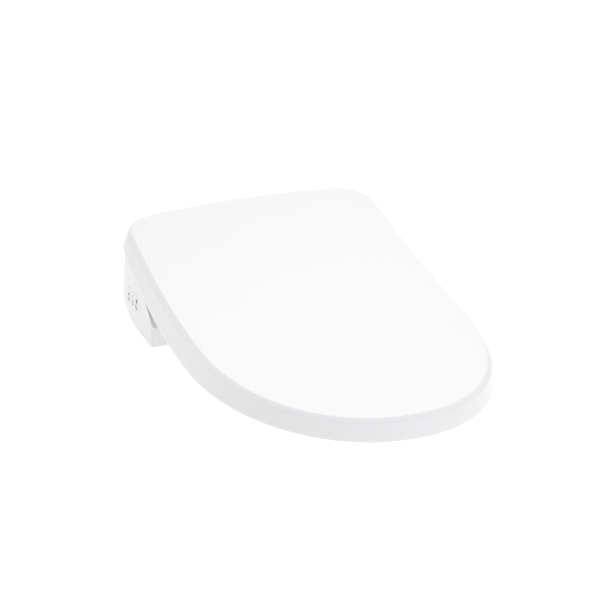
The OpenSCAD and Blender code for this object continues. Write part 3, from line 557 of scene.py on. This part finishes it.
def mark(name, pts, width, body, slot_name, off):
    """A line through (y, z) points on the panel, with round ends: a printed mark, or the lamp's painted glow."""
    outline_pts = []
    pts = [Vector((a, b)) for a, b in pts]
    for side in (1, -1):
        run = pts if side > 0 else pts[::-1]
        for i, p in enumerate(run):
            d = (run[min(i + 1, len(run) - 1)] - run[max(i - 1, 0)]).normalized()
            outline_pts.append(p + Vector((-d.y, d.x)) * width / 2)
        d = (run[-1] - run[-2]).normalized()
        base = math.atan2(d.x, -d.y)
        for k in range(1, 6):
            a = base - k * math.pi / 6
            outline_pts.append(run[-1] + Vector((math.cos(a), math.sin(a))) * width / 2)
    n = len(outline_pts)
    verts = [on_panel(q.x, q.y, off + h) for h in (-0.06, 0.03) for q in outline_pts]
    faces = [tuple(range(n)), tuple(range(2 * n - 1, n - 1, -1))]
    faces += [(k, (k + 1) % n, n + (k + 1) % n, n + k) for k in range(n)]
    return piece(mesh(name, verts, faces, smooth=False), body, slot_name)


def arc(cy, cz, r, a0, a1, n=12):
    """Points along a round stretch from angle a0 to a1, in degrees."""
    turn = [math.radians(a0 + (a1 - a0) * i / n) for i in range(n + 1)]
    return [(cy + r * math.cos(a), cz + r * math.sin(a)) for a in turn]


mark("mark_front_a", [(17.4, 35.4), (20.0, 31.6)], 1.9, "base", "print_dark", 0.1)
mark("mark_front_b", [(18.2, 27.6), (18.6, 25.4)], 1.7, "front_wash", "print_dark", 0.5)
mark("mark_rear_a", arc(3.6, 36.0, 1.7, 20, 200), 1.1, "base", "print_grey", 0.1)
mark("mark_rear_b", [(1.6, 26.6), (4.2, 29.2)], 1.8, "rear_wash", "print_grey", 0.5)
mark("mark_stop", [(-9.0, 29.9), (-12.9, 26.2)], 2.2, "stop", "print_dark", 0.5)
mark("mark_lamp", arc(-11.0, 36.5, 2.0, 0, 320, 24), 1.0, "base", "print_wine", 0.1)
# pink ring round the lamp's mark: painted glow of the lamp's light on the panel, not print
mark("painted_lamp_glow", arc(-11.0, 36.5, 3.3, 0, 335, 24), 0.8, "base", "painted_glow_pink", 0.1)

# ---------------------------------------------------------------- stage, light and camera

floor_mat = plastic("floor_white", (0.4, 0.4, 0.4), rough=0.6, grain=0.01, vary=0.02)
fm = bpy.data.meshes.new("floor")
fm.from_pydata([(-30, -30, 0), (30, -30, 0), (30, 30, 0), (-30, 30, 0)], [], [(0, 1, 2, 3)])
floor = bpy.data.objects.new("floor", fm)
bpy.context.scene.collection.objects.link(floor)
floor.data.materials.append(floor_mat)


floor_shader = next(n for n in floor_mat.node_tree.nodes if n.type == "BSDF_PRINCIPLED")
floor_shader.inputs["Emission Color"].default_value = (1, 1, 1, 1)
floor_shader.inputs["Emission Strength"].default_value = 0.76

# A light tent: broad soft lobes, each given by its compass angle from the seat's front,
# its height in degrees and its strength.
LOBES = [(0, 90, 1.0), (45, 8, 1.2), (135, 45, 1.0), (180, 45, 1.2), (225, 8, 0.2), (315, 8, 0.95)]
LOBE_SHARPNESS = 5.0
world = bpy.data.worlds.new("studio")
bpy.context.scene.world = world
world.use_nodes = True
nt = world.node_tree
background = nt.nodes["Background"]
background.inputs["Color"].default_value = (1, 1, 1, 1)


def maths(operation, a, b=None):
    """A maths node in the world's tree, fed with numbers or sockets."""
    n = nt.nodes.new("ShaderNodeMath")
    n.operation = operation
    for socket, value in zip(n.inputs, (a, b)):
        if isinstance(value, (int, float)):
            socket.default_value = value
        elif value is not None:
            nt.links.new(value, socket)
    return n.outputs[0]


direction = nt.nodes.new("ShaderNodeTexCoord").outputs["Generated"]
total = None
for azimuth, height, strength in LOBES:
    a, e = math.radians(azimuth), math.radians(height)
    dot = nt.nodes.new("ShaderNodeVectorMath")
    dot.operation = "DOT_PRODUCT"
    nt.links.new(direction, dot.inputs[0])
    dot.inputs[1].default_value = (math.sin(a) * math.cos(e), -math.cos(a) * math.cos(e), math.sin(e))
    fall = maths("MULTIPLY", maths("SUBTRACT", dot.outputs["Value"], 1.0), LOBE_SHARPNESS)
    lobe = maths("MULTIPLY", maths("EXPONENT", fall), strength)
    total = lobe if total is None else maths("ADD", total, lobe)
nt.links.new(total, background.inputs["Strength"])

cam_data = bpy.data.cameras.new("camera")
cam = bpy.data.objects.new("camera", cam_data)
bpy.context.scene.collection.objects.link(cam)
bpy.context.scene.camera = cam
cam_data.lens, cam_data.sensor_width = 248.44, 36.0
cam_data.clip_start, cam_data.clip_end = 0.1, 100.0
eye, look = Vector((-2.1234, -4.2983, 2.3578)), Vector((0.01356, -0.08425, 0.042))
back = (eye - look).normalized()
right = Vector((0, 0, 1)).cross(back).normalized()
up = back.cross(right)
roll = math.radians(3.58)
r2 = right * math.cos(roll) + up * math.sin(roll)
u2 = up * math.cos(roll) - right * math.sin(roll)
cam.matrix_world = Matrix.Translation(eye) @ Matrix((r2, u2, back)).transposed().to_4x4()

scene = bpy.context.scene
scene.view_settings.view_transform = "Standard"
scene.view_settings.look = "None"
